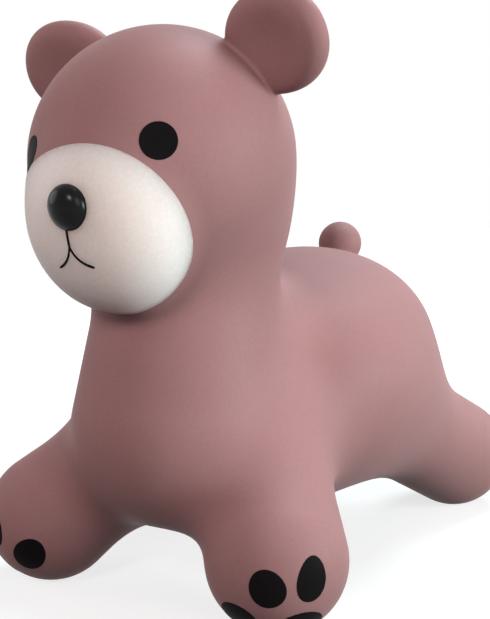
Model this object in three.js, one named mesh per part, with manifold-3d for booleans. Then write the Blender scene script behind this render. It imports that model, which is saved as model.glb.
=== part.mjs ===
// Bouncing bear: a blown-up animal of soft PVC that a small child straddles and holds by the ears.
// Millimetres, +Z up. The bear looks along -Y, its left side is +X and its paws stand on z = 0.
// The skin is one hollow on the real toy. Its lobes flow into each other, so it is the level surface of a
// rounded sum of their distances. It is parted at its waists into shells that open into each other, so that
// the air space inside runs through all of them.

import * as THREE from 'three';
import { mergeVertices } from 'three/addons/utils/BufferGeometryUtils.js';
import Module from 'manifold-3d';

// Skin
const WALL = 1.8; // thickness of the moulded skin
const GAP = 0.3; // clearance between neighbouring pieces
const PAINT = 0.5; // thickness of a painted mark
const SOLE_DEPTH = 1.5; // how far a paw is pressed flat where it stands
const NECK_FILLET = 52; // reach of the round between torso and chest
const LEG_FILLET = 48;
const HEAD_FILLET = 47;
const MUZZLE_FILLET = 14;

// Torso, an egg that lies along Y
const TORSO_LENGTH = 359;
const TORSO_WIDTH = 276;
const TORSO_HEIGHT = 226;
const TORSO_PITCH = 14; // degrees, rump up
const BELLY_CLEARANCE = 43; // floor to the lowest point of the belly

// Chest and neck, a tapered column that leans from the torso up to the head
const CHEST_RADIUS = 85;
const CHEST_FORWARD = 184; // from the torso's middle
const CHEST_DROP = 18; // below the torso's middle
const NECK_RADIUS = 71;
const NECK_RISE = 152; // above the chest's middle
const NECK_BACK = 31; // behind the chest's middle

// Head
const HEAD_WIDTH = 210;
const HEAD_LENGTH = 222;
const HEAD_HEIGHT = 210;
const HEAD_FORWARD = 43; // in front of the neck's top
const HEAD_RISE = 67; // above the neck's top
const HEAD_PITCH = 15; // degrees, chin tucked in

// Muzzle
const MUZZLE_WIDTH = 139;
const MUZZLE_LENGTH = 95;
const MUZZLE_HEIGHT = 144;
const MUZZLE_FORWARD = 72; // in front of the head's middle
const MUZZLE_DROP = 46; // below the head's middle
const MUZZLE_PITCH = 13; // degrees, chin tucked in
const MUZZLE_EDGE = 4; // the cream skin ends where it has left the muzzle's egg by this much

// Ears, thick round lobes with a dished front that serve as handgrips
const EAR_WIDTH = 93;
const EAR_THICKNESS = 36;
const EAR_HEIGHT = 74;
const EAR_SIDE = 100; // from the middle plane
const EAR_BACK = 8; // behind the head's middle
const EAR_RISE = 85; // above the head's middle
const EAR_YAW = -7; // degrees, turned outwards
const EAR_PITCH = 20; // degrees, top leaning forward
const EAR_ROLL = -10; // degrees, outer end up
const EAR_DISH_RADIUS = 75;
const EAR_DISH_FLOOR = 5; // the dish's deepest point, in front of the ear's middle

// Front legs
const FRONT_HIP_RADIUS = 48;
const FRONT_HIP_SIDE = 64;
const FRONT_HIP_FORWARD = 141; // from the torso's middle
const FRONT_HIP_HEIGHT = 113;
const FRONT_PAW_RADIUS = 56;
const FRONT_PAW_SIDE = 113;
const FRONT_PAW_FORWARD = 208; // from the torso's middle

// Hind legs
const HIND_HIP_RADIUS = 53;
const HIND_HIP_SIDE = 68;
const HIND_HIP_FORWARD = 27; // from the torso's middle
const HIND_HIP_HEIGHT = 158;
const HIND_PAW_RADIUS = 56;
const HIND_PAW_SIDE = 97;
const HIND_PAW_BACK = 192; // behind the torso's middle

// Partings of the skin. A leg ends at a plane that slopes up towards the body: its turn in degrees back from
// straight inwards, and its stand from the paw's middle.
const FRONT_PARTING = { turn: 30, stand: 58 };
const HIND_PARTING = { turn: -60, stand: 95 };
const HEAD_PARTING_DROP = 25; // below the neck's top
const HEAD_PARTING_PITCH = 17; // degrees, lower in front
const CHEST_PARTING_FORWARD = 115; // from the torso's middle
const CHEST_PARTING_PITCH = 8; // degrees, top leaning back

// Tail
const TAIL_RADIUS = 22;
const TAIL_ANGLE = 42.5; // degrees up from the torso's rear end
const TAIL_STAND = 12; // the ball's middle above the torso's surface

// Face
const EYE_WIDTH = 29;
const EYE_HEIGHT = 27;
const EYE_SIDE_ANGLE = 34; // degrees from straight ahead
const EYE_RISE_ANGLE = 6.5;
const NOSE_WIDTH = 34;
const NOSE_HEIGHT = 37;
const NOSE_DEPTH = 22;
const NOSE_ANGLE = 12; // degrees above the muzzle's middle
const MOUTH_LINE = 2.4;
const MOUTH_STEM = 14; // from the nose down to the lips
const LIP_RADIUS = 16;
const LIP_SWEEP = 80; // degrees

// Pads of a front paw: places as angles round the paw's middle, sizes along the surface
const TOE_PADS = [
  { name: 'outer_toe_pad', side: 58, rise: 2, width: 24, height: 36 },
  { name: 'middle_toe_pad', side: 23, rise: -4, width: 28, height: 30 },
  { name: 'inner_toe_pad', side: -18, rise: -21, width: 28, height: 31 },
];
const MAIN_PAD = { name: 'main_pad', side: 55, rise: -46, width: 42, height: 37 };

// Valve and plug in the belly
const VALVE_BORE_RADIUS = 4.5;
const VALVE_BOSS_WALL = 3;
const VALVE_BOSS_DEPTH = 11;
const PLUG_FLANGE_RADIUS = 8;
const PLUG_FLANGE_THICKNESS = 2;
const PLUG_LENGTH = 14;
const PLUG_RIB_HEIGHT = 0.6;
const PLUG_RIB_COUNT = 3;

// Facets
const SKIN_FACET = 26; // longest edge of the skin's facets
const ROUND_SEGMENTS = { muzzle: 36, ear: 20, dish: 40, tail: 12, small: 12 };

const wasm = await Module();
wasm.setup();

const X = new THREE.Vector3(1, 0, 0);
const Y = new THREE.Vector3(0, 1, 0);
const Z = new THREE.Vector3(0, 0, 1);
const rad = THREE.MathUtils.degToRad;
const turnAbout = (axis, degrees) => new THREE.Quaternion().setFromAxisAngle(axis, rad(degrees));

// A closed geometry as a solid for cuts and joins. Shared corners are merged first.
function solid(geometry) {
  const bare = geometry.clone();
  bare.deleteAttribute('normal');
  bare.deleteAttribute('uv');
  const merged = mergeVertices(bare, 1e-4);
  const corners = merged.index.array;
  const triangles = [];
  for (let i = 0; i < corners.length; i += 3) {
    const [a, b, c] = corners.slice(i, i + 3);
    if (a !== b && b !== c && c !== a) triangles.push(a, b, c);
  }
  const vertProperties = new Float32Array(merged.attributes.position.array);
  const triVerts = new Uint32Array(triangles);
  return new wasm.Manifold(new wasm.Mesh({ numProp: 3, vertProperties, triVerts }));
}

// The box round a ball.
function ballBox(middle, radius) {
  return new THREE.Box3(middle.clone().subScalar(radius), middle.clone().addScalar(radius));
}

// An egg-shaped lobe from its middle, its full sizes and the turn of its own axes.
function egg(middle, sizes, turn) {
  const half = sizes.clone().multiplyScalar(0.5);
  const back = turn.clone().invert();
  const box = ballBox(middle, Math.max(half.x, half.y, half.z));
  const distance = (point) => {
    const near = point.clone().sub(middle).applyQuaternion(back).divide(half);
    const steep = near.clone().divide(half).length();
    return (near.length() * (near.length() - 1)) / Math.max(steep, 1e-6);
  };
  return { distance, middle, half, turn, box };
}

// A limb lobe: two balls and the straight taper between them.
function limb(start, startRadius, end, endRadius) {
  const axis = end.clone().sub(start);
  const length = axis.length();
  axis.normalize();
  const lean = Math.asin((startRadius - endRadius) / length);
  const box = ballBox(start, startRadius).union(ballBox(end, endRadius));
  const distance = (point) => {
    const offset = point.clone().sub(start);
    const along = offset.dot(axis);
    const out = Math.sqrt(Math.max(offset.lengthSq() - along * along, 0));
    const place = along * Math.cos(lean) - out * Math.sin(lean);
    if (place < 0) return Math.hypot(along, out) - startRadius;
    if (place > length * Math.cos(lean)) return Math.hypot(along - length, out) - endRadius;
    return along * Math.sin(lean) + out * Math.cos(lean) - startRadius;
  };
  return { distance, middle: end, box };
}

// The outward direction of a lobe at a point, from the slope of its distance.
function outward(lobe, point) {
  const slope = (axis) => {
    const ahead = point.clone().addScaledVector(axis, 0.01);
    const behind = point.clone().addScaledVector(axis, -0.01);
    return lobe.distance(ahead) - lobe.distance(behind);
  };
  return new THREE.Vector3(slope(X), slope(Y), slope(Z)).normalize();
}

// A body with its corners carried along a lobe's slope to a level above (or below) the lobe's surface.
function settled(body, lobe, level) {
  return body.warp((corner) => {
    const point = new THREE.Vector3().fromArray(corner);
    const step = level - lobe.distance(point);
    point.addScaledVector(outward(lobe, point), step).toArray(corner);
  });
}

// An egg as a solid, at a level above (or below) its surface.
function eggSolid(lobe, level, segments) {
  const geometry = new THREE.SphereGeometry(1, segments, Math.round(segments * 0.58));
  geometry.applyMatrix4(new THREE.Matrix4().compose(lobe.middle, lobe.turn, lobe.half));
  return settled(solid(geometry), lobe, level);
}

// Lobes of the skin
const torsoSizes = new THREE.Vector3(TORSO_WIDTH, TORSO_LENGTH, TORSO_HEIGHT);
const torsoTurn = turnAbout(X, TORSO_PITCH);
const downInTorso = Z.clone().negate().applyQuaternion(torsoTurn.clone().invert());
const torsoHalf = torsoSizes.clone().multiplyScalar(0.5);
const torsoReach = downInTorso.clone().multiply(torsoHalf).length();
const torsoMiddle = new THREE.Vector3(0, 0, BELLY_CLEARANCE + torsoReach);
const torso = egg(torsoMiddle, torsoSizes, torsoTurn);

const chestMiddle = torsoMiddle.clone().add(new THREE.Vector3(0, -CHEST_FORWARD, -CHEST_DROP));
const neckTop = chestMiddle.clone().add(new THREE.Vector3(0, NECK_BACK, NECK_RISE));
const chest = limb(chestMiddle, CHEST_RADIUS, neckTop, NECK_RADIUS);

const headMiddle = neckTop.clone().add(new THREE.Vector3(0, -HEAD_FORWARD, HEAD_RISE));
const headSizes = new THREE.Vector3(HEAD_WIDTH, HEAD_LENGTH, HEAD_HEIGHT);
const head = egg(headMiddle, headSizes, turnAbout(X, HEAD_PITCH));

const muzzleMiddle = headMiddle.clone().add(new THREE.Vector3(0, -MUZZLE_FORWARD, -MUZZLE_DROP));
const muzzleSizes = new THREE.Vector3(MUZZLE_WIDTH, MUZZLE_LENGTH, MUZZLE_HEIGHT);
const muzzle = egg(muzzleMiddle, muzzleSizes, turnAbout(X, MUZZLE_PITCH));

// A leg, lowered until its paw is pressed into the floor by the sole's depth.
function leg(sign, hip, paw) {
  const root = new THREE.Vector3(sign * hip.side, torsoMiddle.y + hip.back, hip.height);
  const foot = new THREE.Vector3(sign * paw.side, torsoMiddle.y + paw.back, paw.radius - SOLE_DEPTH);
  return limb(root, hip.radius, foot, paw.radius);
}
const frontHip = {
  side: FRONT_HIP_SIDE,
  back: -FRONT_HIP_FORWARD,
  height: FRONT_HIP_HEIGHT,
  radius: FRONT_HIP_RADIUS,
};
const frontPaw = { side: FRONT_PAW_SIDE, back: -FRONT_PAW_FORWARD, radius: FRONT_PAW_RADIUS };
const hindHip = {
  side: HIND_HIP_SIDE,
  back: -HIND_HIP_FORWARD,
  height: HIND_HIP_HEIGHT,
  radius: HIND_HIP_RADIUS,
};
const hindPaw = { side: HIND_PAW_SIDE, back: HIND_PAW_BACK, radius: HIND_PAW_RADIUS };

const sides = [
  { name: 'left', sign: 1 },
  { name: 'right', sign: -1 },
];
const legs = [];
for (const { name, sign } of sides) {
  const front = leg(sign, frontHip, frontPaw);
  const hind = leg(sign, hindHip, hindPaw);
  legs.push({ name: `${name}_front_leg`, sign, lobe: front, parting: FRONT_PARTING });
  legs.push({ name: `${name}_hind_leg`, sign, lobe: hind, parting: HIND_PARTING });
}

// Skin: the smaller of two distances, less a round that is deepest where they are equal.
function roundedSum(one, other, reach) {
  const share = Math.max(reach - Math.abs(one - other), 0) / reach;
  return Math.min(one, other) - (share * share * reach) / 4;
}
function skinDistance(point) {
  let total = roundedSum(torso.distance(point), chest.distance(point), NECK_FILLET);
  for (const { lobe } of legs) total = roundedSum(total, lobe.distance(point), LEG_FILLET);
  total = roundedSum(total, head.distance(point), HEAD_FILLET);
  return roundedSum(total, muzzle.distance(point), MUZZLE_FILLET);
}
const skin = { distance: skinDistance };
const skinBox = new THREE.Box3();
for (const lobe of [torso, chest, head, muzzle, ...legs.map((item) => item.lobe)]) skinBox.union(lobe.box);
skinBox.expandByScalar(SKIN_FACET);
const skinSolid = wasm.Manifold.levelSet(
  (place) => -skinDistance(new THREE.Vector3().fromArray(place)),
  { min: skinBox.min.toArray(), max: skinBox.max.toArray() },
  SKIN_FACET,
);
const skinAt = (level) => settled(skinSolid, skin, level);
const aboveFloor = (body, height) => body.trimByPlane(Z.toArray(), height);

// Ears: an egg, leaning forward, less a broad ball that dishes its front.
const earSizes = new THREE.Vector3(EAR_WIDTH, EAR_THICKNESS, EAR_HEIGHT);
function ear(sign, level) {
  const middle = headMiddle.clone().add(new THREE.Vector3(sign * EAR_SIDE, EAR_BACK, EAR_RISE));
  const turn = turnAbout(Z, sign * EAR_YAW);
  turn.multiply(turnAbout(X, EAR_PITCH)).multiply(turnAbout(Y, sign * EAR_ROLL));
  const front = Y.clone().negate().applyQuaternion(turn);
  const ballMiddle = middle.clone().addScaledVector(front, EAR_DISH_FLOOR + EAR_DISH_RADIUS);
  const ballSizes = new THREE.Vector3(1, 1, 1).multiplyScalar(2 * EAR_DISH_RADIUS);
  const dish = eggSolid(egg(ballMiddle, ballSizes, turn), -level, ROUND_SEGMENTS.dish);
  return eggSolid(egg(middle, earSizes, turn), level, ROUND_SEGMENTS.ear).subtract(dish);
}

// A point on an egg's surface in its middle plane, at an angle up from its rear or front end.
function onMiddlePlane(lobe, direction, degrees) {
  const local = new THREE.Vector3(0, direction * Math.cos(rad(degrees)), Math.sin(rad(degrees)));
  return local.multiply(lobe.half).applyQuaternion(lobe.turn).add(lobe.middle);
}

const tailRoot = onMiddlePlane(torso, 1, TAIL_ANGLE);
const tailMiddle = tailRoot.clone().addScaledVector(outward(torso, tailRoot), TAIL_STAND);
const tailSizes = new THREE.Vector3(1, 1, 1).multiplyScalar(2 * TAIL_RADIUS);
const tail = egg(tailMiddle, tailSizes, new THREE.Quaternion());
const tailAt = (level) => eggSolid(tail, level, ROUND_SEGMENTS.tail);

// Shells. The air space is the inside of the skin, the ears and the tail together.
const skinAir = aboveFloor(skinAt(-WALL), WALL);
const airSpace = skinAir.add(ear(1, -WALL)).add(ear(-1, -WALL)).add(tailAt(-WALL));
const wholeSkin = aboveFloor(skinAt(0), 0).subtract(airSpace);
const seat = skinAt(GAP);

// The part of the space that belongs to a leg, less (or plus) a margin at its parting: a ball round the paw,
// wide enough to hold the whole leg, on the leg's side of the parting and of the middle plane.
function legRegion({ lobe, sign, parting }, margin) {
  const turn = rad(parting.turn);
  const inwards = new THREE.Vector3(-sign * Math.cos(turn), Math.sin(turn), 1).normalize();
  const ball = wasm.Manifold.sphere(1.9 * parting.stand, ROUND_SEGMENTS.dish).translate(lobe.middle.toArray());
  const plane = inwards.dot(lobe.middle) + parting.stand + margin;
  return ball.trimByPlane(inwards.clone().negate().toArray(), -plane).trimByPlane([sign, 0, 0], 0);
}

// The two sides of a body about a plane, half a gap away from it on each side.
function parted(body, direction, place) {
  const plane = direction.dot(place);
  const ahead = body.trimByPlane(direction.toArray(), plane + GAP / 2);
  const behind = body.trimByPlane(direction.clone().negate().toArray(), GAP / 2 - plane);
  return [ahead, behind];
}

const muzzleRegion = (margin) => eggSolid(muzzle, MUZZLE_EDGE + margin, ROUND_SEGMENTS.muzzle);
const muzzleShell = wholeSkin.intersect(muzzleRegion(-GAP / 2));
let trunk = wholeSkin.subtract(muzzleRegion(GAP / 2));
for (const item of legs) trunk = trunk.subtract(legRegion(item, GAP / 2));

const headUp = Z.clone().applyQuaternion(turnAbout(X, HEAD_PARTING_PITCH));
const headFoot = neckTop.clone().addScaledVector(Z, -HEAD_PARTING_DROP);
const [headShell, lowerTrunk] = parted(trunk, headUp, headFoot);
const torsoBack = Y.clone().applyQuaternion(turnAbout(X, -CHEST_PARTING_PITCH));
const torsoFront = torsoMiddle.clone().addScaledVector(Y, -CHEST_PARTING_FORWARD);
const [torsoShell, chestShell] = parted(lowerTrunk, torsoBack, torsoFront);

// Valve: a boss inside the belly's lowest point, bored through, with a recess for the plug's flange.
const bellyLocal = downInTorso.clone().multiply(torsoHalf).multiply(torsoHalf).divideScalar(torsoReach);
const bellyPoint = bellyLocal.applyQuaternion(torsoTurn).add(torsoMiddle);
function upright(radius, bottom, top) {
  const geometry = new THREE.CylinderGeometry(radius, radius, top - bottom, ROUND_SEGMENTS.small);
  geometry.rotateX(Math.PI / 2);
  return solid(geometry.translate(bellyPoint.x, bellyPoint.y, bellyPoint.z + (top + bottom) / 2));
}
const recessRadius = PLUG_FLANGE_RADIUS + GAP;
const recessDepth = PLUG_FLANGE_THICKNESS + GAP;
const boss = upright(recessRadius + VALVE_BOSS_WALL, -GAP, VALVE_BOSS_DEPTH).intersect(skinAt(0));
const bore = upright(VALVE_BORE_RADIUS, -WALL, VALVE_BOSS_DEPTH + WALL);
const recess = upright(recessRadius, -WALL, recessDepth);

// Plug: a flange and a ribbed shank, revolved about the bore's axis.
function plugGeometry() {
  const shank = VALVE_BORE_RADIUS - GAP - PLUG_RIB_HEIGHT;
  const pitch = (PLUG_LENGTH - PLUG_FLANGE_THICKNESS - shank) / PLUG_RIB_COUNT;
  const chamfer = PLUG_FLANGE_THICKNESS / 3;
  const profile = [
    new THREE.Vector2(0, 0),
    new THREE.Vector2(PLUG_FLANGE_RADIUS - chamfer, 0),
    new THREE.Vector2(PLUG_FLANGE_RADIUS, chamfer),
    new THREE.Vector2(PLUG_FLANGE_RADIUS, PLUG_FLANGE_THICKNESS),
    new THREE.Vector2(shank, PLUG_FLANGE_THICKNESS),
  ];
  for (let i = 0; i < PLUG_RIB_COUNT; i++) {
    const low = PLUG_FLANGE_THICKNESS + pitch * i;
    profile.push(new THREE.Vector2(shank, low + pitch * 0.4));
    profile.push(new THREE.Vector2(shank + PLUG_RIB_HEIGHT, low + pitch * 0.5));
    profile.push(new THREE.Vector2(shank, low + pitch));
  }
  profile.push(new THREE.Vector2(shank * 0.7, PLUG_LENGTH - shank * 0.3));
  profile.push(new THREE.Vector2(0, PLUG_LENGTH));
  const geometry = new THREE.LatheGeometry(profile, ROUND_SEGMENTS.small);
  geometry.rotateX(Math.PI / 2);
  return geometry.translate(bellyPoint.x, bellyPoint.y, bellyPoint.z);
}

// Painted marks: a thin layer over the skin, cut out by an oval or a stroke that is cast on to it.
const paintLayer = skinAt(GAP + PAINT).subtract(seat);
function aim(sideDegrees, riseDegrees) {
  const flat = Math.cos(rad(riseDegrees));
  const side = Math.sin(rad(sideDegrees)) * flat;
  const ahead = -Math.cos(rad(sideDegrees)) * flat;
  return new THREE.Vector3(side, ahead, Math.sin(rad(riseDegrees)));
}

// An oval rod from a lobe's middle outwards, upright as seen from outside.
function ovalRod(middle, direction, width, height, reach) {
  const geometry = new THREE.CylinderGeometry(0.5, 0.5, 1, ROUND_SEGMENTS.small);
  geometry.rotateX(Math.PI / 2);
  geometry.translate(0, 0, 0.5);
  geometry.scale(width, height, reach);
  const across = new THREE.Vector3().crossVectors(Z, direction).normalize();
  const upwards = new THREE.Vector3().crossVectors(direction, across);
  geometry.applyMatrix4(new THREE.Matrix4().makeBasis(across, upwards, direction));
  return solid(geometry.translate(middle.x, middle.y, middle.z));
}

// Mouth: a stem below the nose and two lips that curl away from it, cast along Y.
function mouthStroke(top) {
  const depth = MUZZLE_LENGTH / 2;
  const half = MOUTH_LINE / 2;
  const cast = (shape) => {
    const geometry = new THREE.ExtrudeGeometry(shape, { depth, bevelEnabled: false, curveSegments: 12 });
    geometry.rotateX(Math.PI / 2);
    return solid(geometry.translate(0, muzzle.middle.y, top.z));
  };
  const stem = new THREE.Shape();
  stem.moveTo(-half, 0);
  stem.lineTo(-half, -MOUTH_STEM - half);
  stem.lineTo(half, -MOUTH_STEM - half);
  stem.lineTo(half, 0);
  const lip = (sign) => {
    const shape = new THREE.Shape();
    const start = sign > 0 ? Math.PI : 0;
    const end = start + sign * rad(LIP_SWEEP);
    shape.absarc(sign * LIP_RADIUS, -MOUTH_STEM, LIP_RADIUS + half, start, end, sign < 0);
    shape.absarc(sign * LIP_RADIUS, -MOUTH_STEM, LIP_RADIUS - half, end, start, sign > 0);
    return cast(shape);
  };
  return cast(stem).add(lip(1)).add(lip(-1));
}

// Assembly
const bear = new THREE.Group();
const finish = (color, roughness) => new THREE.MeshStandardMaterial({ color, roughness, metalness: 0 });
const skinFinish = () => finish(0xab8785, 0.55);
const blackPaint = () => finish(0x1a1718, 0.6);

function addPiece(name, body, material) {
  const { vertProperties, triVerts } = body.getMesh();
  const geometry = new THREE.BufferGeometry();
  geometry.setAttribute('position', new THREE.BufferAttribute(new Float32Array(vertProperties), 3));
  geometry.setIndex(new THREE.BufferAttribute(new Uint32Array(triVerts), 1));
  geometry.computeVertexNormals();
  const mesh = new THREE.Mesh(geometry, material);
  mesh.name = name;
  bear.add(mesh);
}

addPiece('torso', torsoShell.add(boss).subtract(bore).subtract(recess), skinFinish());
addPiece('chest_and_neck', chestShell, skinFinish());
addPiece('head', headShell, skinFinish());
addPiece('muzzle', muzzleShell, finish(0xe6dad0, 0.5));
addPiece('tail', tailAt(0).subtract(airSpace).subtract(seat), skinFinish());
for (const item of legs) {
  addPiece(item.name, wholeSkin.intersect(legRegion(item, -GAP / 2)), skinFinish());
}
for (const { name, sign } of sides) {
  addPiece(`${name}_ear`, ear(sign, 0).subtract(airSpace).subtract(seat), skinFinish());
}

for (const { name, sign } of sides) {
  const direction = aim(sign * EYE_SIDE_ANGLE, EYE_RISE_ANGLE);
  const rod = ovalRod(headMiddle, direction, EYE_WIDTH, EYE_HEIGHT, HEAD_LENGTH);
  addPiece(`${name}_eye`, paintLayer.intersect(rod), blackPaint());
}

const noseMiddle = onMiddlePlane(muzzle, -1, NOSE_ANGLE);
const nose = egg(noseMiddle, new THREE.Vector3(NOSE_WIDTH, NOSE_DEPTH, NOSE_HEIGHT), muzzle.turn);
const noseAt = (level) => eggSolid(nose, level, ROUND_SEGMENTS.small);
addPiece('nose', noseAt(0).subtract(seat), finish(0x101010, 0.25));

const noseBottom = noseMiddle.clone().addScaledVector(Z, -NOSE_HEIGHT / 2);
const mouth = paintLayer.intersect(mouthStroke(noseBottom)).subtract(noseAt(GAP));
addPiece('mouth', mouth, blackPaint());

for (const { name, sign, lobe } of legs.filter((item) => item.parting === FRONT_PARTING)) {
  for (const pad of [...TOE_PADS, MAIN_PAD]) {
    const direction = aim(sign * pad.side, pad.rise);
    const rod = ovalRod(lobe.middle, direction, pad.width, pad.height, 2 * FRONT_PAW_RADIUS);
    addPiece(`${name.split('_')[0]}_${pad.name}`, paintLayer.intersect(rod), blackPaint());
  }
}

addPiece('air_plug', solid(plugGeometry()), finish(0xf2f0ea, 0.4));

// The origin is under the middle of the whole bear.
const box = new THREE.Box3().setFromObject(bear);
bear.position.y = -(box.min.y + box.max.y) / 2;

export default bear;
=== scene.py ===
import functools
import math

import bpy
import numpy as np
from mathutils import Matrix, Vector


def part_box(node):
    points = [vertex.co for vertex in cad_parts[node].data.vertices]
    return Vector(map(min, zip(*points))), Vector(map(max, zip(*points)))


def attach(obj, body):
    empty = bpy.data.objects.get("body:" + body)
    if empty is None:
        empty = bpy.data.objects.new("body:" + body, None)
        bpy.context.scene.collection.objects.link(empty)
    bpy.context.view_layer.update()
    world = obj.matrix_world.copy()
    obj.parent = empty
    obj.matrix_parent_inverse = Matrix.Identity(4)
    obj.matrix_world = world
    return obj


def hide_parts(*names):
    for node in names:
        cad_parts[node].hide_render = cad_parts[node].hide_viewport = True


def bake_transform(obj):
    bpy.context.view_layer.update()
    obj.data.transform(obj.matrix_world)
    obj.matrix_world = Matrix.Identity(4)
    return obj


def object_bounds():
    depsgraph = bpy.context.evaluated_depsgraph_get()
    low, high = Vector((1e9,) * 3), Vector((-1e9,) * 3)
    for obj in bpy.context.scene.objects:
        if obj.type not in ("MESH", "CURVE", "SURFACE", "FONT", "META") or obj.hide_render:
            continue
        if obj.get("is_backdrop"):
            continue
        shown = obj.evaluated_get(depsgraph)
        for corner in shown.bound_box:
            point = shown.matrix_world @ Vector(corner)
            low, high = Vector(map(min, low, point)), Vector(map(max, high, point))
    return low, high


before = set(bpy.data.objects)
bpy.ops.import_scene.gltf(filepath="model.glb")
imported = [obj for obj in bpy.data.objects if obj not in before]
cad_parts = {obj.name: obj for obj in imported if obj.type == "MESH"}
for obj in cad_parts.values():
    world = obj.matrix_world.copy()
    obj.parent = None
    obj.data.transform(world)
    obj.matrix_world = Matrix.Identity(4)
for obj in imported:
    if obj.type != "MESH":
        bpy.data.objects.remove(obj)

solid_low, solid_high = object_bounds()


# Body skin: one rotation-moulded bag of soft PVC, blown up until it is tight. Torso, neck, head, muzzle and
# legs flow into each other without a seam, so the skin is one level surface of a rounded sum of lobes.
# The legs are parted off below the hips as pieces of their own.

TORSO_MIDDLE = (0, 0.0404, 0.1609)
TORSO_HALF = (0.138, 0.1795, 0.113)
TORSO_PITCH = 14  # degrees, rump up
CHEST_MIDDLE, CHEST_RADIUS = (0, -0.1436, 0.1429), 0.085
NECK_TOP, NECK_RADIUS = (0, -0.1126, 0.2949), 0.071
HEAD_MIDDLE = (0, -0.1556, 0.3619)
HEAD_HALF = (0.105, 0.111, 0.105)
HEAD_PITCH = 15
MUZZLE_MIDDLE = (0, -0.2276, 0.3159)
MUZZLE_HALF = (0.0695, 0.0475, 0.072)
MUZZLE_PITCH = 13
PAW_RADIUS, PAW_HEIGHT = 0.056, 0.0545  # a paw is pressed flat by the difference where it stands
FRONT_LEG = {"hip": (0.064, -0.1006, 0.113), "hip_radius": 0.048, "paw": (0.113, -0.1676, PAW_HEIGHT)}
HIND_LEG = {"hip": (0.068, 0.0134, 0.158), "hip_radius": 0.053, "paw": (0.097, 0.2324, PAW_HEIGHT)}
NECK_FILLET, LEG_FILLET, HEAD_FILLET, MUZZLE_FILLET = 0.052, 0.048, 0.047, 0.014
SKIN_STEP = 0.0035  # size of the skin's faces
FREE_FACES = 3  # room left round the skin where its level is searched, in faces
SIDES = {"left": 1, "right": -1}


def turn_about(axis, degrees):
    """Matrix of a turn about X, Y or Z, numbered 0, 1 and 2. It carries the next axis towards the one
    after."""
    c, s = math.cos(math.radians(degrees)), math.sin(math.radians(degrees))
    first, second = (axis + 1) % 3, (axis + 2) % 3
    turn = np.eye(3)
    turn[first, first] = turn[second, second] = c
    turn[first, second], turn[second, first] = -s, s
    return turn


def egg_distance(points, middle, half, turn):
    """Distance to an ellipsoid, true near its surface: r (r - 1) / s, where r is the length of the offset
    counted in half sizes and s is the length of that offset divided by the half sizes once more."""
    counted = ((points - np.array(middle)) @ turn) / np.array(half)
    length = np.linalg.norm(counted, axis=-1)
    steep = np.linalg.norm(counted / np.array(half), axis=-1)
    return length * (length - 1) / np.maximum(steep, 1e-6)


def limb_distance(points, start, start_radius, end, end_radius):
    """Distance to two balls and the cone that touches both: to the first ball behind the cone's first rim,
    to the second ball beyond its last rim, and square to the cone's side between them."""
    axis = np.array(end) - np.array(start)
    length = np.linalg.norm(axis)
    axis = axis / length
    lean = math.asin((start_radius - end_radius) / length)
    offset = points - np.array(start)
    along = offset @ axis
    out = np.sqrt(np.maximum((offset * offset).sum(-1) - along * along, 0))
    place = along * math.cos(lean) - out * math.sin(lean)
    side = along * math.sin(lean) + out * math.cos(lean) - start_radius
    side = np.where(place < 0, np.hypot(along, out) - start_radius, side)
    return np.where(place > length * math.cos(lean), np.hypot(along - length, out) - end_radius, side)


def rounded_sum(one, other, reach):
    """The smaller of two distances, less a fillet of h h reach / 4, where h falls from 1 where they are
    equal to 0 where they differ by reach."""
    share = np.maximum(reach - np.abs(one - other), 0) / reach
    return np.minimum(one, other) - share * share * reach / 4


def leg_places(leg, sign):
    """Hip and paw of a front or hind leg on one side."""
    mirror = np.array((sign, 1, 1))
    return np.array(leg["hip"]) * mirror, np.array(leg["paw"]) * mirror


def head_distance(points):
    """Distance to the head's egg."""
    return egg_distance(points, HEAD_MIDDLE, HEAD_HALF, turn_about(0, HEAD_PITCH))


def muzzle_distance(points):
    """Distance to the muzzle's egg."""
    return egg_distance(points, MUZZLE_MIDDLE, MUZZLE_HALF, turn_about(0, MUZZLE_PITCH))


def neck_distance(points):
    """Distance to the tapered column of chest and neck."""
    return limb_distance(points, CHEST_MIDDLE, CHEST_RADIUS, NECK_TOP, NECK_RADIUS)


def skin_distance(points):
    """Distance to the whole skin: torso and neck, then the four legs, head and muzzle, each by a rounded
    sum."""
    total = egg_distance(points, TORSO_MIDDLE, TORSO_HALF, turn_about(0, TORSO_PITCH))
    total = rounded_sum(total, neck_distance(points), NECK_FILLET)
    for leg in (FRONT_LEG, HIND_LEG):
        for sign in SIDES.values():
            hip, paw = leg_places(leg, sign)
            one = limb_distance(points, hip, leg["hip_radius"], paw, PAW_RADIUS)
            total = rounded_sum(total, one, LEG_FILLET)
    total = rounded_sum(total, head_distance(points), HEAD_FILLET)
    return rounded_sum(total, muzzle_distance(points), MUZZLE_FILLET)


def slope_of(distance, points):
    """Outward slope of a distance: its change over a hundredth of a millimetre along X, Y and Z."""
    small = 1e-5
    changes = [distance(points + step) - distance(points - step) for step in np.eye(3) * small]
    return np.stack(changes, -1) / (2 * small)


def settled(distance, points, rounds=4):
    """Points carried along the slope on to the level where the distance is zero."""
    for _ in range(rounds):
        slope = slope_of(distance, points)
        points = points - slope * (distance(points) / (slope * slope).sum(-1))[..., None]
    return points


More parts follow.
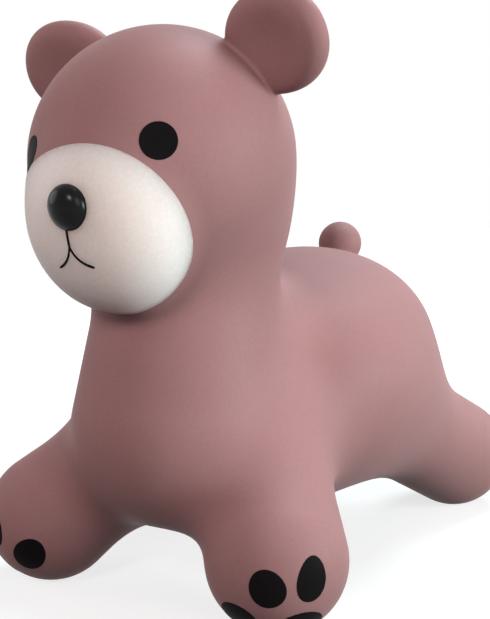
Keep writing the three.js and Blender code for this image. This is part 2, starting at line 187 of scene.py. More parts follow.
def level_surface(distance, low, high, step):
    """Faces of the level where a distance is zero, found on a lattice of cubes. A cube that the level
    crosses gets a corner at the mean of the crossings on its edges. A lattice edge that is crossed gets a
    face, whose corners are those of the four cubes round that edge."""
    axes = [np.arange(a, b + step, step) for a, b in zip(low, high)]
    lattice = np.stack(np.meshgrid(*axes, indexing="ij"), -1)
    values = distance(lattice)
    cubes = tuple(n - 1 for n in values.shape)
    total, count = np.zeros(cubes + (3,)), np.zeros(cubes)
    crossings = []
    for axis in range(3):
        order = (axis, (axis + 1) % 3, (axis + 2) % 3)
        value, spot = np.moveaxis(values, order, (0, 1, 2)), np.moveaxis(lattice, order, (0, 1, 2))
        total_here, count_here = np.moveaxis(total, order, (0, 1, 2)), np.moveaxis(count, order, (0, 1, 2))
        crossed = (value[:-1] < 0) != (value[1:] < 0)
        share = np.where(crossed, value[:-1] / np.where(crossed, value[:-1] - value[1:], 1), 0)
        meet = (spot[:-1] + share[..., None] * (spot[1:] - spot[:-1])) * crossed[..., None]
        wide, deep = crossed.shape[1] - 1, crossed.shape[2] - 1
        for p, q in ((0, 0), (0, 1), (1, 0), (1, 1)):
            total_here += meet[:, p:p + wide, q:q + deep]
            count_here += crossed[:, p:p + wide, q:q + deep]
        crossings.append((order, crossed[:, 1:-1, 1:-1], value[:-1, 1:-1, 1:-1] < 0))
    used = count > 0
    number = np.full(cubes, -1)
    number[used] = np.arange(used.sum())
    faces = []
    for order, crossed, inside in crossings:
        numbers = np.moveaxis(number, order, (0, 1, 2))
        i, j, k = np.nonzero(crossed)
        first, second = numbers[i, j, k], numbers[i, j + 1, k]
        third, fourth = numbers[i, j + 1, k + 1], numbers[i, j, k + 1]
        around = np.stack([first, second, third, fourth], -1)
        faces.append(np.where(inside[i, j, k][:, None], around, around[:, ::-1]))
    return total[used] / count[used][:, None], np.concatenate(faces)


def add_piece(name, corners, faces, material):
    """A finished, smooth piece from corners and faces, with its material."""
    mesh = bpy.data.meshes.new(name)
    mesh.from_pydata(corners.tolist(), [], faces)
    mesh.polygons.foreach_set("use_smooth", np.ones(len(faces), bool))
    mesh.materials.append(material)
    made = bpy.data.objects.new(name, mesh)
    bpy.context.scene.collection.objects.link(made)
    return made


def pvc_surface():
    """Node group of a moulded PVC surface: a colour with soft broad blotches and fine specks, a roughness
    that follows the blotches, and the height of a fine orange-peel grain."""
    group = bpy.data.node_groups.new("pvc_surface", "ShaderNodeTree")
    colour, value = "NodeSocketColor", "NodeSocketFloat"
    for name, kind in (("Colour", colour), ("Tint", colour), ("Roughness", value)):
        group.interface.new_socket(name, in_out="INPUT", socket_type=kind)
    for name, kind in (("Colour", colour), ("Roughness", value), ("Height", value)):
        group.interface.new_socket(name, in_out="OUTPUT", socket_type=kind)
    nodes, links = group.nodes, group.links
    given, result = nodes.new("NodeGroupInput"), nodes.new("NodeGroupOutput")
    place = nodes.new("ShaderNodeTexCoord")

    def noise(scale, detail):
        made = nodes.new("ShaderNodeTexNoise")
        made.inputs["Scale"].default_value = scale
        made.inputs["Detail"].default_value = detail
        links.new(place.outputs["Object"], made.inputs["Vector"])
        return made.outputs["Fac"]

    # Lumps per metre, and how many finer layers of lumps lie on them.
    blotch, speck, peel = noise(9, 3), noise(420, 2), noise(900, 1)
    spread = nodes.new("ShaderNodeMapRange")
    spread.inputs["From Min"].default_value, spread.inputs["From Max"].default_value = 0.35, 0.65
    links.new(blotch, spread.inputs["Value"])
    tinted = nodes.new("ShaderNodeMix")
    tinted.data_type = "RGBA"
    links.new(spread.outputs["Result"], tinted.inputs["Factor"])
    links.new(given.outputs["Colour"], tinted.inputs["A"])
    links.new(given.outputs["Tint"], tinted.inputs["B"])
    dim = nodes.new("ShaderNodeMapRange")
    dim.inputs["From Min"].default_value, dim.inputs["From Max"].default_value = 0.3, 0.7
    dim.inputs["To Min"].default_value, dim.inputs["To Max"].default_value = 0.96, 1.03
    links.new(speck, dim.inputs["Value"])
    specked = nodes.new("ShaderNodeVectorMath")
    specked.operation = "SCALE"
    links.new(tinted.outputs["Result"], specked.inputs["Vector"])
    links.new(dim.outputs["Result"], specked.inputs["Scale"])
    links.new(specked.outputs["Vector"], result.inputs["Colour"])
    rough = nodes.new("ShaderNodeMath")
    rough.operation = "MULTIPLY_ADD"
    rough.inputs[1].default_value = 0.12
    links.new(blotch, rough.inputs[0])
    links.new(given.outputs["Roughness"], rough.inputs[2])
    links.new(rough.outputs[0], result.inputs["Roughness"])
    links.new(peel, result.inputs["Height"])
    return group


PVC_SURFACE = pvc_surface()


def pvc_material(name, colour, tint, roughness, grain, **constants):
    """A material of the moulded surface. grain is the height of its orange peel in metres, and constants
    are values of the shader that are the same all over."""
    made = bpy.data.materials.new(name)
    made.use_nodes = True
    nodes, links = made.node_tree.nodes, made.node_tree.links
    shader = nodes["Principled BSDF"]
    surface = nodes.new("ShaderNodeGroup")
    surface.node_tree = PVC_SURFACE
    surface.inputs["Colour"].default_value = (*colour, 1)
    surface.inputs["Tint"].default_value = (*tint, 1)
    surface.inputs["Roughness"].default_value = roughness
    bump = nodes.new("ShaderNodeBump")
    bump.inputs["Distance"].default_value = grain
    links.new(surface.outputs["Height"], bump.inputs["Height"])
    links.new(surface.outputs["Colour"], shader.inputs["Base Color"])
    links.new(surface.outputs["Roughness"], shader.inputs["Roughness"])
    links.new(bump.outputs["Normal"], shader.inputs["Normal"])
    for socket, value in constants.items():
        shader.inputs[socket.replace("_", " ")].default_value = value
    return made


ROSY_BROWN = pvc_material(
    "rosy_brown_pvc", (0.316, 0.156, 0.156), (0.296, 0.145, 0.145), 0.5, 0.00008,
    Specular_IOR_Level=0.1, Sheen_Weight=0.03, Sheen_Roughness=0.6,
)

VALVE_MIDDLE = np.array(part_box("air_plug")).mean(0) * np.array((1, 1, 0))
VALVE_CUT_RADIUS = 0.0105  # hole in the skin under the valve's collar
LEG_PARTING = {
    "front": {"leg": FRONT_LEG, "towards": (-0.612, 0.354, 0.707), "at": 0.058, "reach": 0.11},
    "hind": {"leg": HIND_LEG, "towards": (-0.354, -0.612, 0.707), "at": 0.095, "reach": 0.16},
}

skin_reach = np.maximum(np.abs(solid_low), np.abs(solid_high))
skin_reach = np.ceil(skin_reach / SKIN_STEP + FREE_FACES) * SKIN_STEP
skin_low = np.array((-skin_reach[0], -skin_reach[1], -FREE_FACES * SKIN_STEP))
skin_corners, skin_faces = level_surface(skin_distance, skin_low, skin_reach, SKIN_STEP)
skin_corners = settled(skin_distance, skin_corners)
skin_normals = slope_of(skin_distance, skin_corners)
skin_normals /= np.linalg.norm(skin_normals, axis=1)[:, None]
skin_corners[:, 2] = np.maximum(skin_corners[:, 2], 0)
face_middles = skin_corners[skin_faces].mean(1)


def skin_piece(name, chosen):
    """The chosen faces of the skin as one piece, shaded by the slope of the whole skin so that no parting
    shows."""
    used, faces = np.unique(skin_faces[chosen], return_inverse=True)
    made = add_piece(name, skin_corners[used], faces.reshape(-1, 4).tolist(), ROSY_BROWN)
    made.data.normals_split_custom_set_from_vertices(skin_normals[used])
    return made


valve_offset = face_middles[:, :2] - VALVE_MIDDLE[:2]
on_trunk = np.linalg.norm(valve_offset, axis=1) > VALVE_CUT_RADIUS
on_trunk |= face_middles[:, 2] > TORSO_MIDDLE[2]


def leg_blend(piece):
    """The piece's placement, baked into its corners."""
    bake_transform(piece)


for place, part in LEG_PARTING.items():
    for side, sign in SIDES.items():
        _, paw = leg_places(part["leg"], sign)
        offset = face_middles - paw
        below = offset @ (np.array(part["towards"]) * np.array((sign, 1, 1))) < part["at"]
        own_side = face_middles[:, 0] * sign > 0
        on_leg = below & own_side & (np.linalg.norm(offset, axis=1) < part["reach"])
        on_trunk &= ~on_leg
        leg_skin = skin_piece(f"{side}_{place}_leg_skin", on_leg)
        leg_blend(leg_skin)
        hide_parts(f"{side}_{place}_leg")

trunk_skin = skin_piece("trunk_skin", on_trunk)
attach(trunk_skin, "upper")
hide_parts("torso", "chest_and_neck", "head")


# Ears: thick round lobes of the same skin, one on each side of the head, which the rider holds on to.
# Each leans forward, has a full rim round a dished front, and springs from the head in a tight crease.
# The right one sags a little lower than the left, as in the photograph.

EAR_MIDDLES = {"left": (0.0992, -0.1476, 0.45), "right": (-0.0972, -0.1476, 0.4378)}
EAR_HALF = (0.0465, 0.018, 0.0405)
EAR_YAW, EAR_PITCH, EAR_ROLL = -7, 20, -10  # degrees: outwards, top forward, outer end up
EAR_FULLNESS = 2.1  # 2 is an egg, more is a fuller rim
EAR_DISH_RADIUS, EAR_DISH_FILLET = 0.075, 0.01
EAR_DISH_FLOOR = 0.0075  # the dish's deepest point, in front of the ear's middle
CREASE = 0.0045  # reach of the small fillet where a lobe springs from the skin
CREASE_END = 1.1  # a lobe ends this far past its crease, counted in reaches of the crease
CREASE_DIP = 0.0003  # how far a lobe's edge runs in under the skin
LOBE_STEP = 0.0014  # size of a lobe's faces


def sprung_lobe(name, lobe, root, middle, reach):
    """A lobe that springs from a root in a tight crease: the level surface of their rounded sum, as far as
    the crease reaches. Its edge dips under the root's skin."""

    def whole(points):
        return rounded_sum(lobe(points), root(points), CREASE)

    corners, faces = level_surface(whole, np.array(middle) - reach, np.array(middle) + reach, LOBE_STEP)
    corners = settled(whole, corners)
    outwards = slope_of(whole, corners)
    outwards /= np.linalg.norm(outwards, axis=1)[:, None]
    past = (lobe(corners) - root(corners)) / CREASE
    used, faces = np.unique(faces[(past[faces] < CREASE_END).all(1)], return_inverse=True)
    dip = CREASE_DIP * np.clip(2 * past[used] - 1, 0, 1)
    lowered = corners[used] - outwards[used] * dip[:, None]
    made = add_piece(name, lowered, faces.reshape(-1, 4).tolist(), ROSY_BROWN)
    made.data.normals_split_custom_set_from_vertices(outwards[used])
    return made


def ear_distance(points, middle, sign):
    """Distance to an ear: a full egg less a broad ball in front. With n the fullness and r the nth root of
    the sum of nth powers of the offset counted in half sizes, the egg is where r is 1, and its distance is
    r - 1 over the slope of r."""
    turn = turn_about(2, sign * EAR_YAW) @ turn_about(0, EAR_PITCH) @ turn_about(1, sign * EAR_ROLL)
    counted = np.abs((points - middle) @ turn) / np.array(EAR_HALF)
    length = (counted ** EAR_FULLNESS).sum(-1) ** (1 / EAR_FULLNESS)
    steep = np.linalg.norm(counted ** (EAR_FULLNESS - 1) / np.array(EAR_HALF), axis=-1)
    body = (length - 1) * length ** (EAR_FULLNESS - 1) / np.maximum(steep, 1e-6)
    dish = middle - turn @ np.array((0, EAR_DISH_FLOOR + EAR_DISH_RADIUS, 0))
    hollow = np.linalg.norm(points - dish, axis=-1) - EAR_DISH_RADIUS
    return -rounded_sum(-body, hollow, EAR_DISH_FILLET)


for side, sign in SIDES.items():
    middle = np.array(EAR_MIDDLES[side])
    lobe = functools.partial(ear_distance, middle=middle, sign=sign)
    ear = sprung_lobe(f"{side}_ear_skin", lobe, head_distance, middle, 1.5 * EAR_HALF[0])
    way = middle - np.array(HEAD_MIDDLE)
    way /= np.linalg.norm(way)
    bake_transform(ear)
    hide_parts(f"{side}_ear")


# Tail: a small ball of the same skin above the rump, blown up with the rest of the bag. It springs from the
# back in the same tight crease as the ears.

TAIL_MIDDLE, TAIL_RADIUS = np.array((0, 0.1548, 0.2786)), 0.022


def tail_distance(points):
    """Distance to the tail's ball."""
    return np.linalg.norm(points - TAIL_MIDDLE, axis=-1) - TAIL_RADIUS


tail = sprung_lobe("tail_skin", tail_distance, skin_distance, TAIL_MIDDLE, 1.8 * TAIL_RADIUS)
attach(tail, "upper")
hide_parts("tail")


# Muzzle paint: cream vinyl paint sprayed over the whole muzzle through a mask, up to the crease round it.
# It is a thin film on the skin with a rim that runs out into the crease.

PAINT = 0.00035  # thickness of the paint
MUZZLE_SEAT = np.array((0, -0.205, 0.31))  # inside the head, where the rays to the paint start
MUZZLE_FAR = 0.14
MUZZLE_EDGE = 0.0026  # the paint ends where the skin has left the muzzle's egg by this much
MUZZLE_EDGE_MORE = 0.0016  # and by this much more under the left brow
MUZZLE_EDGE_TURN = 48  # degrees up from the left, where the left brow is
MUZZLE_WIDEST = 2.6  # angle off the muzzle's way that is past the paint's edge all round
MUZZLE_RIM = 1.006  # the rolled rim lies this many times as far out as the edge
PAINT_RINGS, PAINT_AROUND = 48, 160

CREAM = pvc_material(
    "cream_paint", (0.88, 0.77, 0.73), (0.86, 0.745, 0.705), 0.4, 0.00004,
    Specular_IOR_Level=0.15, Subsurface_Weight=1, Subsurface_Radius=(1, 0.9, 0.85), Subsurface_Scale=0.05,
)


def fan_faces(rings, around):
    """Faces of a surface with a pole: three corners round the pole, which is corner 0, then four between
    each ring and the next one out."""
    column = np.arange(around)
    after = (column + 1) % around
    tip = np.stack([np.zeros(around, int), 1 + column, 1 + after], -1)
    start = 1 + around * np.arange(rings - 1)[:, None]
    bands = np.stack([start + column, start + around + column, start + around + after, start + after], -1)
    return tip.tolist() + bands.reshape(-1, 4).tolist()


def pole_frame(towards):
    """Two directions square to a third, the second as upright as can be."""
    towards = np.array(towards) / np.linalg.norm(towards)
    across = np.cross((0, 0, 1), towards)
    across /= np.linalg.norm(across)
    return across, np.cross(towards, across), towards


def polar_directions(towards, angles, around):
    """Unit directions that spread from a pole: for each row of angles off it, all the way round."""
    across, upwards, pole = pole_frame(towards)
    turn = np.linspace(0, 2 * math.pi, around, endpoint=False)
    ring = np.cos(turn)[:, None] * across + np.sin(turn)[:, None] * upwards
    return np.cos(angles)[..., None] * pole + np.sin(angles)[..., None] * ring


def bisected(test, low, high, rounds=40):
    """Values between low and high where a test on whole arrays turns from true to false."""
    for _ in range(rounds):
        middle = (low + high) / 2
        ahead = test(middle)
        low, high = np.where(ahead, middle, low), np.where(ahead, high, middle)
    return low


def on_skin(seat, rays, far):
    """Where rays from a seat inside the skin come out of it."""
    shape = rays.shape[:-1]

    def inside(reach):
        return skin_distance(seat + rays * reach[..., None]) < 0

    reach = bisected(inside, np.zeros(shape), np.full(shape, far))
    return seat + rays * reach[..., None]


def paint_film(spots):
    """Rings of spots on the skin, lifted by the paint's thickness, with the outer ring sunk by as much so
    that the rim rolls into the skin. The first spot is the pole."""
    lift = np.full(spots.shape[:-1], PAINT)
    lift[-1] = -PAINT
    raised = spots + slope_of(skin_distance, spots) * lift[..., None]
    return np.concatenate([raised[0, :1], raised[1:].reshape(-1, 3)])


muzzle_way = np.array((0, -1, 0))


def muzzle_spots(angles):
    """Spots on the skin at angles off the muzzle's own way, all the way round."""
    return on_skin(MUZZLE_SEAT, polar_directions(muzzle_way, angles, PAINT_AROUND), MUZZLE_FAR)


edge_turn = np.linspace(0, 2 * math.pi, PAINT_AROUND, endpoint=False) - math.radians(MUZZLE_EDGE_TURN)
edge = MUZZLE_EDGE + MUZZLE_EDGE_MORE * np.maximum(np.cos(edge_turn), 0) ** 2
flat_angles = np.zeros(PAINT_AROUND)
wide_angles = np.full(PAINT_AROUND, MUZZLE_WIDEST)
rim_angles = bisected(lambda a: muzzle_distance(muzzle_spots(a)) < edge, flat_angles, wide_angles)
ring_shares = np.append(np.linspace(0, 1, PAINT_RINGS), MUZZLE_RIM)[:, None]
muzzle_corners = paint_film(muzzle_spots(rim_angles * ring_shares))
muzzle_faces = fan_faces(PAINT_RINGS, PAINT_AROUND)
muzzle = add_piece("muzzle_paint", muzzle_corners, muzzle_faces, CREAM)
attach(muzzle, "upper")
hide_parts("muzzle")


# Nose: a raised button moulded on the front of the muzzle, above its middle. It is sprayed with gloss black
# vinyl paint and shows a small highlight.

NOSE_MIDDLE = np.array((0.0018, -0.2752, 0.3264))
NOSE_HALF = (0.017, 0.0115, 0.0174)
NOSE_RIM = 100.8  # degrees round from the tip, inside the muzzle
NOSE_RINGS, NOSE_AROUND = 40, 72

GLOSS_BLACK = pvc_material(
    "gloss_black_paint", (0.003, 0.003, 0.0035), (0.005, 0.005, 0.005), 0.13, 0.00002,
    Specular_IOR_Level=0.11,
)

nose_turn = np.linspace(0, 2 * math.pi, NOSE_AROUND, endpoint=False)
nose_rise = np.linspace(0, math.radians(NOSE_RIM), NOSE_RINGS)[1:, None]
nose_local = np.stack([
    np.sin(nose_rise) * np.cos(nose_turn),
    -np.cos(nose_rise) * np.ones(NOSE_AROUND),
    np.sin(nose_rise) * np.sin(nose_turn),
], -1)
nose_local = np.concatenate([[(0, -1, 0)], nose_local.reshape(-1, 3)]) * np.array(NOSE_HALF)
nose_corners = nose_local @ turn_about(0, MUZZLE_PITCH).T + NOSE_MIDDLE
nose_faces = fan_faces(NOSE_RINGS - 1, NOSE_AROUND)
nose = add_piece("nose_button", nose_corners, nose_faces, GLOSS_BLACK)
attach(nose, "upper")
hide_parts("nose")


# Mouth: a stem below the nose and two lips that curl away from it, brushed on the cream in matt black vinyl
# paint. The left lip is a little longer than the right one.

MOUTH_TOP, MOUTH_FORK = 0.311, 0.2965  # heights
LIP_ENDS = {"left": (0.0172, 0.2832), "right": (0.0157, 0.282)}
LIP_BEND = np.array((0.003, 0.2865))
LIP_OVERLAP = 0.002  # the lips start this far up the stem
LIP_THIN, LIP_THICK = 0.75, 1.1  # width of a lip at its start and end, in widths of the stem
STROKE_HALF = 0.00105
STROKE_END_POWER = 12  # the higher, the blunter a stroke's round ends
STROKE_END_LEAST = 0.02  # square of the share of its width that is left at the very tip
STROKE_STEPS, STROKE_ACROSS = 40, 9

MATT_BLACK = pvc_material(
    "matt_black_paint", (0.0065, 0.0055, 0.006), (0.0085, 0.0075, 0.008), 0.42, 0.00005,
    Specular_IOR_Level=0.015,
)


def stroke(path, half_widths):
    """A brushed line on the skin. Across each point of a path in X and Z lies a row of spots, which is cast
    along Y on to the skin and lifted in a low arch, and the ends are drawn in to round tips."""
    along = np.gradient(path, axis=0)
    along /= np.linalg.norm(along, axis=1)[:, None]
    square = np.stack([-along[:, 1], along[:, 0]], -1)
    across = np.linspace(-1, 1, STROKE_ACROSS)
    flat = path[:, None] + square[:, None] * (half_widths[:, None] * across)[..., None]
    seat = np.stack([flat[..., 0], np.full(flat.shape[:-1], MUZZLE_SEAT[1]), flat[..., 1]], -1)
    spots = on_skin(seat, np.broadcast_to(muzzle_way.astype(float), seat.shape), MUZZLE_FAR)
    lift = 2 * PAINT + 2 * PAINT * (1 - across ** 2)
    lift[[0, -1]] = -PAINT
    return spots + slope_of(skin_distance, spots) * lift[:, None]


def strip_faces(rows, columns, first):
    """Faces between the rows of a strip whose corners are numbered from first."""
    start = first + columns * np.arange(rows - 1)[:, None] + np.arange(columns - 1)
    return np.stack([start, start + columns, start + columns + 1, start + 1], -1).reshape(-1, 4).tolist()


share = np.linspace(0, 1, STROKE_STEPS)
round_ends = np.sqrt(np.clip(1 - np.abs(2 * share - 1) ** STROKE_END_POWER, STROKE_END_LEAST, 1))
stem = np.stack([0 * share, MOUTH_TOP + (MOUTH_FORK - MOUTH_TOP) * share], -1)
strokes = [stroke(stem, STROKE_HALF * round_ends)]
for side, sign in SIDES.items():
    mirror = np.array((sign, 1))
    fork = np.array((0, MOUTH_FORK + LIP_OVERLAP))
    lip = ((1 - share) ** 2)[:, None] * fork + (2 * share * (1 - share))[:, None] * LIP_BEND * mirror
    lip = lip + (share ** 2)[:, None] * np.array(LIP_ENDS[side]) * mirror
    lip_width = LIP_THIN + (LIP_THICK - LIP_THIN) * share
    strokes.append(stroke(lip, STROKE_HALF * round_ends * lip_width))
mouth_faces = []
for number in range(len(strokes)):
    mouth_faces += strip_faces(STROKE_STEPS, STROKE_ACROSS, number * STROKE_STEPS * STROKE_ACROSS)
mouth_corners = np.concatenate([line.reshape(-1, 3) for line in strokes])
mouth = add_piece("mouth_line", mouth_corners, mouth_faces, MATT_BLACK)
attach(mouth, "upper")
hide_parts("mouth")


# Eyes: two round spots of matt black vinyl paint, sprayed through a mask on the front of the head, above
# the muzzle. The right one sits lower and nearer the muzzle than the left, as in the photograph.

EYE_HALF = (0.0138, 0.0138)
EYE_AIMS = {"left": (34, 6.4), "right": (29.2, 2)}  # degrees aside and up, from the head's middle


def aimed(side, rise, sign):
    """Direction at an angle from straight ahead towards one side, and at a rise above level."""
    side, rise = math.radians(side), math.radians(rise)
    level = np.array((sign * math.sin(side), -math.cos(side), 0))
    return level * math.cos(rise) + np.array((0, 0, math.sin(rise)))


def painted_oval(seat, towards, half, lean=0, taper=0):
    """A spot of paint: an oval of rays about a direction, as wide and high as half says where they meet the
    skin. lean turns the oval by an angle, and taper draws its upper end in by a share."""
    across, upwards, towards = pole_frame(towards)
    spot = on_skin(seat, towards[None], MUZZLE_FAR)[0]
    distance = np.linalg.norm(spot - seat)
    turn = np.linspace(0, 2 * math.pi, PAINT_AROUND, endpoint=False)
    grow = np.append(np.linspace(0, 1, PAINT_RINGS // 2), 1 + PAINT / min(half))[:, None]
    high = np.sin(turn) * grow
    wide = np.cos(turn) * grow * (1 - taper * high)
    tilt = math.radians(lean)
    x = wide * half[0] * math.cos(tilt) - high * half[1] * math.sin(tilt)
    y = wide * half[0] * math.sin(tilt) + high * half[1] * math.cos(tilt)
    rays = towards * distance + across * x[..., None] + upwards * y[..., None]
    rays /= np.linalg.norm(rays, axis=-1)[..., None]
    return paint_film(on_skin(seat, rays, MUZZLE_FAR))


oval_faces = fan_faces(PAINT_RINGS // 2, PAINT_AROUND)
for side, sign in SIDES.items():
    corners = painted_oval(np.array(HEAD_MIDDLE), aimed(*EYE_AIMS[side], sign), EYE_HALF)
    eye = add_piece(f"{side}_eye_spot", corners, oval_faces, MATT_BLACK)
    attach(eye, "upper")
    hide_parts(f"{side}_eye")


# Paw pads: three toe pads and one main pad on each front paw, matt black paint sprayed through a mask on
# its front and sole. On the left paw the mask sat askew, so that the inner toe pad lies lower than on the
# right.

PADS = {
    "outer_toe_pad": {"side": 58, "rise": 2, "half": (0.012, 0.018), "lean": -8, "taper": 0.12},
    "middle_toe_pad": {"side": 23, "rise": -4, "half": (0.014, 0.0155), "lean": 25, "taper": 0.05},
    "main_pad": {"side": 55, "rise": -44, "half": (0.021, 0.0185), "lean": 0, "taper": 0.1},
}
INNER_TOE_PADS = {
    "left": {"side": -10, "rise": -36, "half": (0.0175, 0.015), "lean": 15, "taper": 0.05},
    "right": {"side": -18, "rise": -21, "half": (0.014, 0.0175), "lean": 35, "taper": 0.05},
}

for side, sign in SIDES.items():
    _, paw = leg_places(FRONT_LEG, sign)
    for name, pad in {**PADS, "inner_toe_pad": INNER_TOE_PADS[side]}.items():
        towards = aimed(pad["side"], pad["rise"], sign)
        corners = painted_oval(paw, towards, pad["half"], sign * pad["lean"], pad["taper"])
        spot = add_piece(f"{side}_{name}_spot", corners, oval_faces, MATT_BLACK)
        leg_blend(spot)
        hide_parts(f"{side}_{name}")


# Valve and plug: a moulded collar in the belly with a bore for the pump, and a push-in plug of white
# polyethylene with a flange and three ribs that grip the bore.

PLUG_LOW, PLUG_HIGH = (np.array(corner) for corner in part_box("air_plug"))
FLANGE_RADIUS = (PLUG_HIGH[0] - PLUG_LOW[0]) / 2
FLANGE_THICKNESS, BORE_RADIUS, RIB_HEIGHT, RIB_COUNT = 0.002, 0.0045, 0.0006, 3
RIB_SHAPE = ((0, 0.4), (1, 0.5), (0.8, 0.58), (0, 1))  # shares of a rib's height and of its pitch
DIMPLE_RADIUS, DIMPLE_DEPTH, DIMPLE_LIP = 0.0035, 0.0006, 0.0042  # in the flange's outer face
SHANK_GAP, SHANK_FILLET, SHANK_TIP = 0.0003, 0.0004, 0.7  # the last is a share of the shank's radius
COLLAR_RADIUS, COLLAR_DEPTH, RECESS_GAP = 0.0145, 0.011, 0.0004
COLLAR_RISE, BORE_CHAMFER, BORE_PAST = 0.0007, 0.0005, 0.004  # the bore runs past the collar by the last
SHARP_ANGLE = math.radians(40)
LATHE_AROUND = 64

PLUG_WHITE = pvc_material(
    "white_polyethylene", (0.84, 0.83, 0.80), (0.82, 0.81, 0.77), 0.34, 0.00003, Specular_IOR_Level=0.45,
)


def lathe(profile):
    """Corners of a profile of radius and height, turned all the way round the valve's axis."""
    turn = np.linspace(0, 2 * math.pi, LATHE_AROUND, endpoint=False)
    ring = np.stack([np.cos(turn), np.sin(turn), 0 * turn], -1)
    profile = np.array(profile)
    places = profile[:, None, :1] * ring + profile[:, None, 1:] * np.array((0, 0, 1))
    return (places + np.append(VALVE_MIDDLE[:2], PLUG_LOW[2])).reshape(-1, 3)


def lathe_faces(rows, last_cap):
    """Faces between the rows of a lathe, closed all the way round, with a cap on the first row and, if
    asked for, on the last."""
    column = np.arange(LATHE_AROUND)
    after = (column + 1) % LATHE_AROUND
    start = LATHE_AROUND * np.arange(rows - 1)[:, None]
    end = start + LATHE_AROUND
    bands = np.stack([start + column, start + after, end + after, end + column], -1)
    caps = [column[::-1].tolist()]
    if last_cap:
        caps.append((LATHE_AROUND * (rows - 1) + column).tolist())
    return bands.reshape(-1, 4).tolist() + caps


shank = BORE_RADIUS - SHANK_GAP - RIB_HEIGHT
plug_length = PLUG_HIGH[2] - PLUG_LOW[2]
rib_pitch = (plug_length - FLANGE_THICKNESS - shank) / RIB_COUNT
bead = FLANGE_THICKNESS / 2
bead_turn = np.linspace(-math.pi / 2, math.pi / 2, 9)
plug_profile = [(DIMPLE_RADIUS, DIMPLE_DEPTH), (DIMPLE_LIP, 0)]
plug_profile += [(FLANGE_RADIUS - bead + bead * math.cos(a), bead + bead * math.sin(a)) for a in bead_turn]
plug_profile += [(shank + SHANK_FILLET, FLANGE_THICKNESS), (shank, FLANGE_THICKNESS + SHANK_FILLET)]
for rib in range(RIB_COUNT):
    low = FLANGE_THICKNESS + rib_pitch * rib
    plug_profile += [(shank + out * RIB_HEIGHT, low + up * rib_pitch) for out, up in RIB_SHAPE]
plug_profile += [(SHANK_TIP * shank, plug_length)]
plug = add_piece("plug", lathe(plug_profile), lathe_faces(len(plug_profile), True), PLUG_WHITE)
plug.data.set_sharp_from_angle(angle=SHARP_ANGLE)
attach(plug, "plug")
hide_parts("air_plug")

recess, seat = FLANGE_RADIUS + RECESS_GAP, FLANGE_THICKNESS + RECESS_GAP
collar_profile = [
    (BORE_RADIUS, COLLAR_DEPTH + BORE_PAST), (BORE_RADIUS, seat + BORE_CHAMFER),
    (BORE_RADIUS + BORE_CHAMFER, seat), (recess, seat), (recess, 0),
    (recess + 0.001, -COLLAR_RISE), (COLLAR_RADIUS - 0.002, -COLLAR_RISE),
    (COLLAR_RADIUS - 0.0005, 0), (COLLAR_RADIUS, 0.0012),
]
collar_faces = lathe_faces(len(collar_profile), False)
collar = add_piece("valve_collar", lathe(collar_profile), collar_faces, ROSY_BROWN)
collar.data.set_sharp_from_angle(angle=SHARP_ANGLE)
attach(collar, "upper")


# Studio: a pale floor and white surroundings, with a camera low in front of the bear's left shoulder. Broad
# soft lamps on its left and above its back are cool, as from a window, and two weak ones in front are warm.

CAMERA_PLACE = (0.5475, -0.9149, 0.352)
CAMERA_AZIMUTH, CAMERA_ELEVATION = 31.8, 6.8  # degrees
IMAGE_HEIGHT, FOCAL_LENGTH = 619, 1156.4  # pixels
SURROUNDINGS_LIGHT, SURROUNDINGS_SEEN = 0.02, 1  # strength on the bear, and to the camera
FLOOR_SIZE = 12
FLOOR_GAP = 0.0003  # the floor lies this much below the soles, so that no two faces are at one height
FLOOR_LIGHT, FLOOR_SEEN = 0.03, 0.3  # shade of grey that lights the bear, and that the camera sees
FLOOR_GLOW_NEAR, FLOOR_GLOW_FAR = 0.75, 1  # white that is seen on the floor under the bear and far off
FLOOR_NEAR, FLOOR_FAR = 0.5, 2  # and where the one passes into the other
LAMP_AIM = (0, -0.05, 0.25)
LAMPS = {
    "left_lamp": {"place": (2.15, 0.33, 0.56), "size": 1, "power": 53, "colour": (0.88, 1, 1)},
    "back_lamp": {"place": (0.18, 0.97, 2.19), "size": 1.4, "power": 51, "colour": (0.81, 0.95, 1)},
    "near_lamp": {"place": (1.69, -1.24, 0.9), "size": 1.2, "power": 13, "colour": (0.94, 1, 1)},
    "front_lamp": {"place": (0.35, -1.85, 1.15), "size": 0.5, "power": 15.5, "colour": (1, 0.88, 0.86)},
    "right_lamp": {"place": (-1.85, -0.95, 0.9), "size": 1.4, "power": 13, "colour": (1, 0.93, 0.92)},
}

camera = bpy.data.objects.new("camera", bpy.data.cameras.new("camera"))
camera.location = CAMERA_PLACE
camera.rotation_euler = (math.radians(90 - CAMERA_ELEVATION), 0, math.radians(CAMERA_AZIMUTH))
camera.data.sensor_width = 36
camera.data.lens = FOCAL_LENGTH * camera.data.sensor_width / IMAGE_HEIGHT
bpy.context.scene.collection.objects.link(camera)
bpy.context.scene.camera = camera

for name, lamp in LAMPS.items():
    light = bpy.data.lights.new(name, "AREA")
    light.shape = "DISK"
    light.size = lamp["size"]
    light.energy = lamp["power"]
    light.color = lamp["colour"]
    holder = bpy.data.objects.new(name, light)
    holder.location = lamp["place"]
    aim = np.array(LAMP_AIM) - np.array(lamp["place"])
    tilt = math.atan2(math.hypot(aim[0], aim[1]), -aim[2])
    holder.rotation_euler = (tilt, 0, math.atan2(aim[1], aim[0]) - math.pi / 2)
    bpy.context.scene.collection.objects.link(holder)


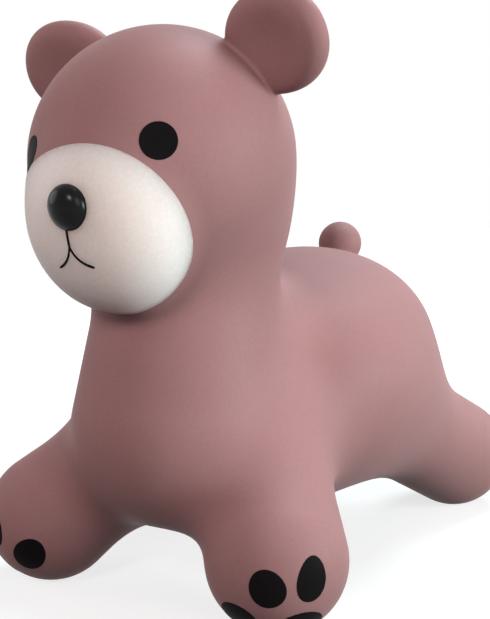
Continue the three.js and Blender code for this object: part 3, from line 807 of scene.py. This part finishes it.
def seen_directly(nodes, links):
    """One for rays that show the surroundings: from the camera, in a reflection or through glass."""
    path = nodes.new("ShaderNodeLightPath")
    total = path.outputs["Is Camera Ray"]
    for name in ("Is Glossy Ray", "Is Transmission Ray"):
        most = nodes.new("ShaderNodeMath")
        most.operation = "MAXIMUM"
        links.new(total, most.inputs[0])
        links.new(path.outputs[name], most.inputs[1])
        total = most.outputs[0]
    return total


world = bpy.data.worlds.new("surroundings")
bpy.context.scene.world = world
world.use_nodes = True
sky = world.node_tree.nodes["Background"]
sky.inputs["Color"].default_value = (1, 1, 1, 1)
level = world.node_tree.nodes.new("ShaderNodeMapRange")
level.inputs["To Min"].default_value = SURROUNDINGS_LIGHT
level.inputs["To Max"].default_value = SURROUNDINGS_SEEN
seen = seen_directly(world.node_tree.nodes, world.node_tree.links)
world.node_tree.links.new(seen, level.inputs["Value"])
world.node_tree.links.new(level.outputs["Result"], sky.inputs["Strength"])

floor_paint = bpy.data.materials.new("pale_floor")
floor_paint.use_nodes = True
nodes, links = floor_paint.node_tree.nodes, floor_paint.node_tree.links
matt = nodes["Principled BSDF"]
matt.inputs["Roughness"].default_value = 0.9
matt.inputs["Specular IOR Level"].default_value = 0.1
shade = nodes.new("ShaderNodeMix")
shade.data_type = "RGBA"
shade.inputs["A"].default_value = (FLOOR_LIGHT, FLOOR_LIGHT, FLOOR_LIGHT, 1)
shade.inputs["B"].default_value = (FLOOR_SEEN, FLOOR_SEEN, FLOOR_SEEN, 1)
seen = seen_directly(nodes, links)
links.new(seen, shade.inputs["Factor"])
links.new(shade.outputs["Result"], matt.inputs["Base Color"])
matt.inputs["Emission Color"].default_value = (1, 1, 1, 1)
spot = nodes.new("ShaderNodeTexCoord")
away = nodes.new("ShaderNodeVectorMath")
away.operation = "LENGTH"
links.new(spot.outputs["Object"], away.inputs[0])
white = nodes.new("ShaderNodeMapRange")
white.interpolation_type = "SMOOTHSTEP"
white.inputs["From Min"].default_value = FLOOR_NEAR
white.inputs["From Max"].default_value = FLOOR_FAR
white.inputs["To Min"].default_value = FLOOR_GLOW_NEAR
white.inputs["To Max"].default_value = FLOOR_GLOW_FAR
links.new(away.outputs["Value"], white.inputs["Value"])
glow = nodes.new("ShaderNodeMath")
glow.operation = "MULTIPLY"
links.new(seen, glow.inputs[0])
links.new(white.outputs["Result"], glow.inputs[1])
links.new(glow.outputs[0], matt.inputs["Emission Strength"])

floor_mesh = bpy.data.meshes.new("floor")
half, depth = FLOOR_SIZE / 2, -FLOOR_GAP
floor_places = [(-half, -half, depth), (half, -half, depth), (half, half, depth), (-half, half, depth)]
floor_mesh.from_pydata(floor_places, [], [(0, 1, 2, 3)])
floor_mesh.materials.append(floor_paint)
floor = bpy.data.objects.new("floor", floor_mesh)
bpy.context.scene.collection.objects.link(floor)
floor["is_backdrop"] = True

bpy.context.scene.view_settings.view_transform = "Standard"

low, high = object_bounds()
